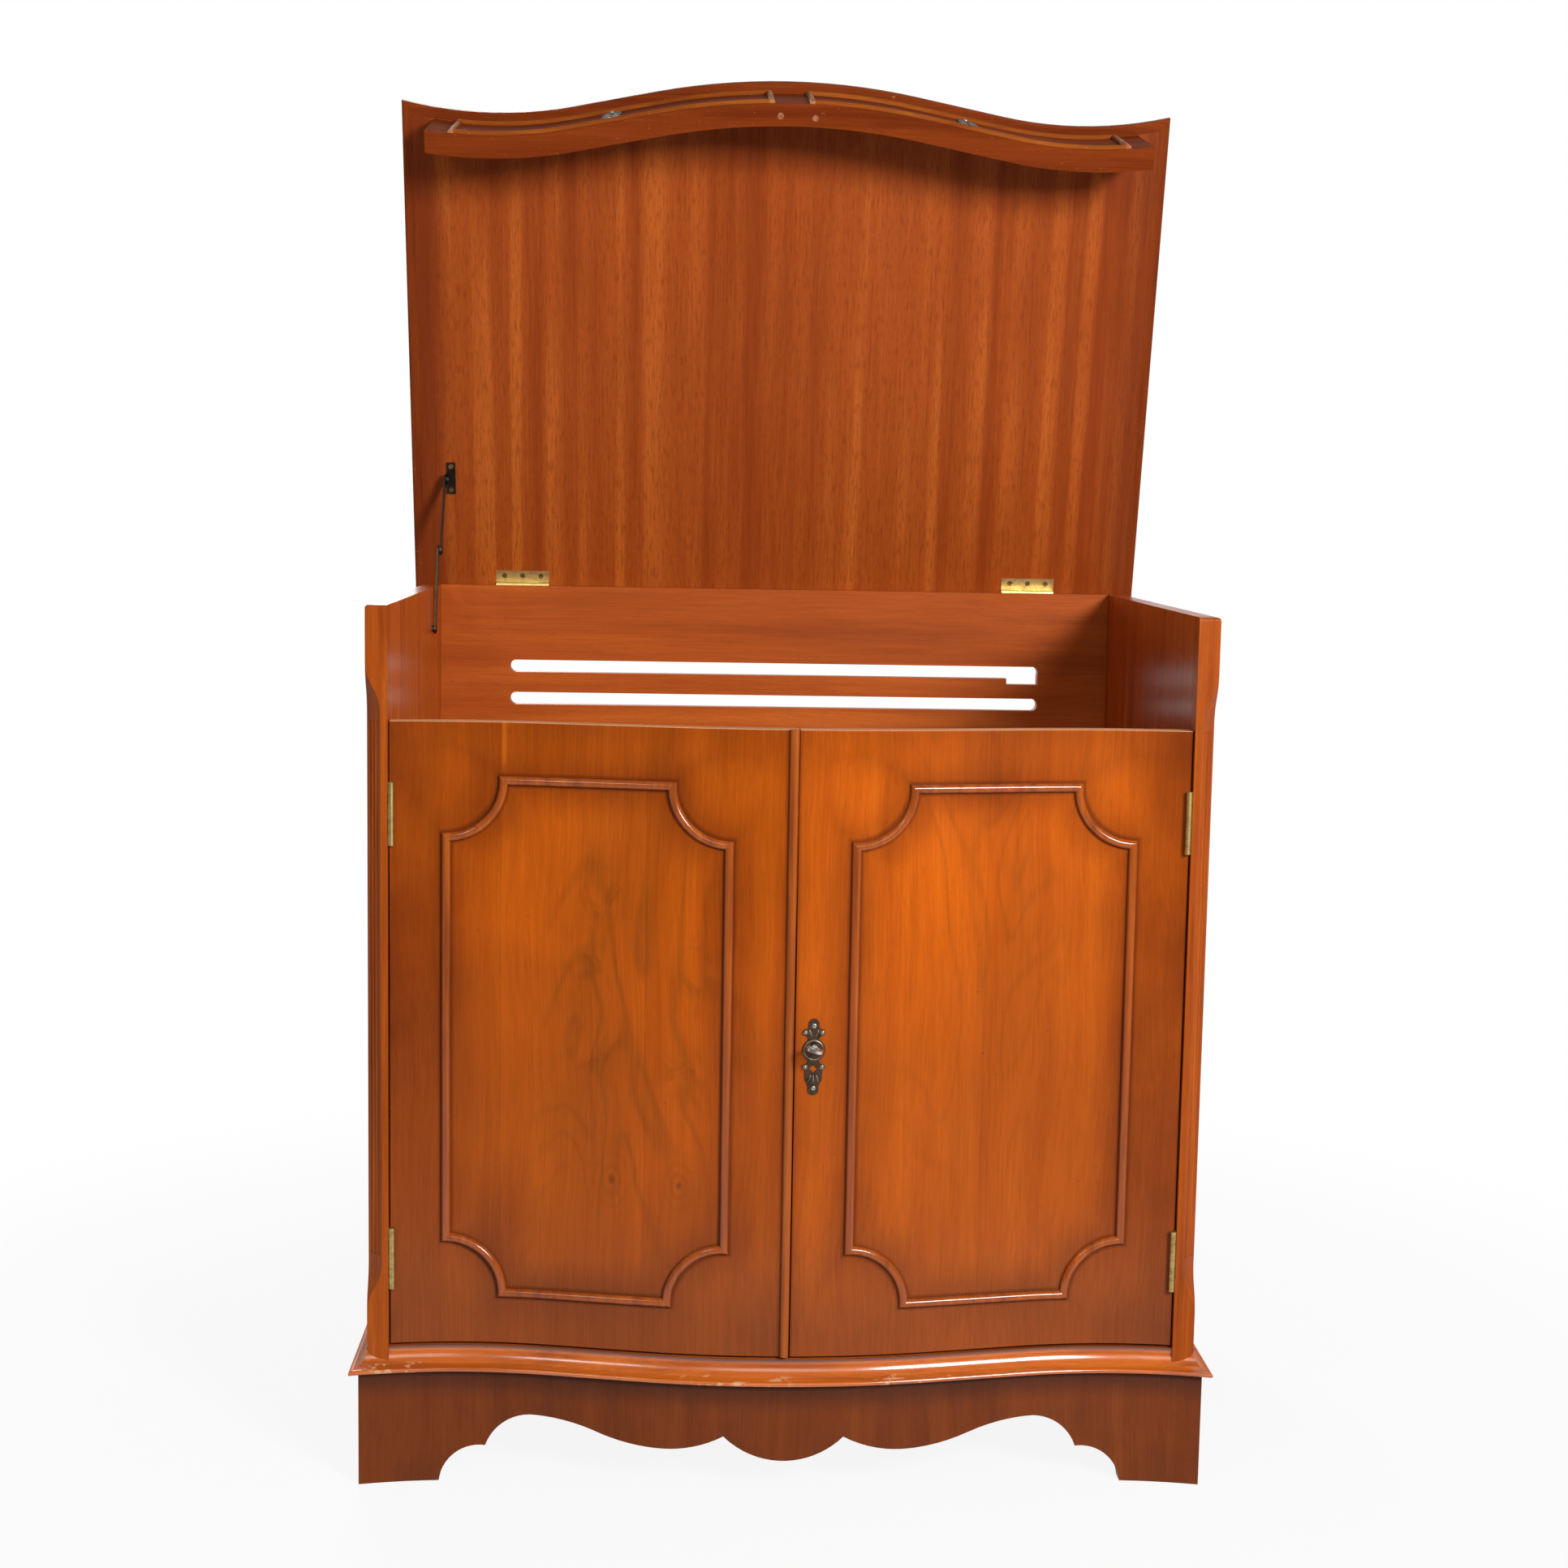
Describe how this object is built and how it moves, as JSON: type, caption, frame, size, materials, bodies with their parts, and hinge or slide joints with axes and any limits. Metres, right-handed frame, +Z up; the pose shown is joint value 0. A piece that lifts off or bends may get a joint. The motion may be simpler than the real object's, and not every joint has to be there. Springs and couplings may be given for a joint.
{
  "type": "tv cabinet",
  "caption": "Serpentine-fronted wooden television cabinet with a lift-up lid on butt hinges, a folding stay, moulded doors with a lock, a moulded base and a bracket plinth.",
  "frame": {"origin": "on the floor, under the middle of the whole piece with the lid open", "axes": "+X to the viewer's right, +Y from the doors to the back, +Z up"},
  "size_m": [0.89, 0.6436, 1.4877],
  "materials": {
    "yew_veneer": "satin lacquered yew veneer",
    "yew_side": "satin lacquered veneer",
    "yew_back": "dark stained veneer",
    "yew_lid": "ribbon striped veneer",
    "yew_solid": "lacquered solid wood",
    "yew_bead": "shaded lacquered bead",
    "yew_plinth": "darker lacquered veneer",
    "hinge_brass": "dull brass",
    "plate_bronze": "dark antique bronze",
    "pin_brass": "bright pin heads",
    "stay_steel": "aged steel",
    "lock_steel": "plain steel"
  },
  "bodies": {
    "cabinet": {"side_left": "yew_side", "side_right": "yew_side", "front_stile_left": "yew_solid", "front_stile_right": "yew_solid", "back_panel": "yew_back", "bottom_board": "yew_side", "base_moulding_front": "yew_solid", "base_moulding_left": "yew_solid", "base_moulding_right": "yew_solid", "plinth_front": "yew_plinth", "plinth_left": "yew_plinth", "plinth_right": "yew_plinth", "plinth_back": "yew_back", "plinth_corner_blocks": "yew_back", "hinge_left_upper_frame_leaf": "hinge_brass", "hinge_left_lower_frame_leaf": "hinge_brass", "hinge_right_upper_frame_leaf": "hinge_brass", "hinge_right_lower_frame_leaf": "hinge_brass", "lid_hinge_left_back_leaf": "hinge_brass", "lid_hinge_right_back_leaf": "hinge_brass", "hinge_pins": "hinge_brass", "frame_hinge_screws": "hinge_brass", "bolt_keep": "hinge_brass", "stay_side_screw": "stay_steel"},
    "door_left": {"door_left": "yew_veneer", "door_left_moulding": "yew_bead", "meeting_bead": "yew_solid", "hinge_left_upper_door_leaf": "hinge_brass", "hinge_left_lower_door_leaf": "hinge_brass", "lock_strike": "hinge_brass", "leaf_bolt_plate": "hinge_brass", "door_left_screws": "hinge_brass"},
    "leaf_bolt": {"leaf_bolt_rod": "hinge_brass"},
    "door_right": {"door_right": "yew_veneer", "door_right_moulding": "yew_bead", "hinge_right_upper_door_leaf": "hinge_brass", "hinge_right_lower_door_leaf": "hinge_brass", "escutcheon": "plate_bronze", "escutcheon_pins": "pin_brass", "lock_case": "lock_steel", "door_right_screws": "hinge_brass"},
    "key": {"key": "lock_steel"},
    "lock_bolt": {"lock_bolt": "lock_steel"},
    "lid": {"lid_panel": "yew_lid", "lid_lipping_front": "yew_solid", "lid_lipping_left": "yew_solid", "lid_lipping_right": "yew_solid", "fascia_rail": "yew_veneer", "drawer_moulding_left": "yew_bead", "drawer_moulding_right": "yew_bead", "drawer_escutcheons": "plate_bronze", "drawer_plate_pins": "pin_brass", "lid_hinge_left_lid_leaf": "hinge_brass", "lid_hinge_right_lid_leaf": "hinge_brass", "stay_bracket": "stay_steel", "stay_lid_rivet": "stay_steel", "lid_screws": "hinge_brass"},
    "stay_upper": {"stay_upper_arm": "stay_steel", "stay_elbow_rivet": "stay_steel"},
    "stay_lower": {"stay_lower_arm": "stay_steel"}
  },
  "joints": [
    {"name": "lid_hinge", "type": "hinge", "parent": "cabinet", "child": "lid", "pos_m": [0, 0.29819, 0.9055], "axis": [1, 0, 0], "range_deg": [0, 75.5]},
    {"name": "door_left_hinge", "type": "hinge", "parent": "cabinet", "child": "door_left", "pos_m": [-0.4026, -0.25632, 0.4665], "axis": [0, 0, -1], "range_deg": [0, 170]},
    {"name": "door_right_hinge", "type": "hinge", "parent": "cabinet", "child": "door_right", "pos_m": [0.4026, -0.25632, 0.4665], "axis": [0, 0, 1], "range_deg": [0, 170]},
    {"name": "key_turn", "type": "hinge", "parent": "door_right", "child": "key", "pos_m": [0.024, -0.2914, 0.471], "axis": [0, -1, 0], "range_deg": [0, 180]},
    {"name": "lock_bolt_slide", "type": "slide", "parent": "door_right", "child": "lock_bolt", "axis": [-1, 0, 0], "range_m": [0, 0.008]},
    {"name": "leaf_bolt_slide", "type": "slide", "parent": "door_left", "child": "leaf_bolt", "axis": [0, 0, -1], "range_m": [0, 0.012]},
    {"name": "stay_lower_pivot", "type": "hinge", "parent": "cabinet", "child": "stay_lower", "pos_m": [-0.4025, 0.1756, 0.857], "axis": [1, 0, 0], "range_deg": [0, 109.7]},
    {"name": "stay_upper_pivot", "type": "hinge", "parent": "lid", "child": "stay_upper", "pos_m": [-0.3995, 0.25801, 1.03093], "axis": [1, 0, 0], "range_deg": [-110, 0]}
  ],
  "couplings": [
    {"joint": "key_turn", "follows": "lock_bolt_slide", "rad_per_m": 392.69},
    {"joint": "stay_lower_pivot", "follows": "lid_hinge", "ratio": 1.447},
    {"joint": "stay_upper_pivot", "follows": "lid_hinge", "ratio": -1.451}
  ]
}
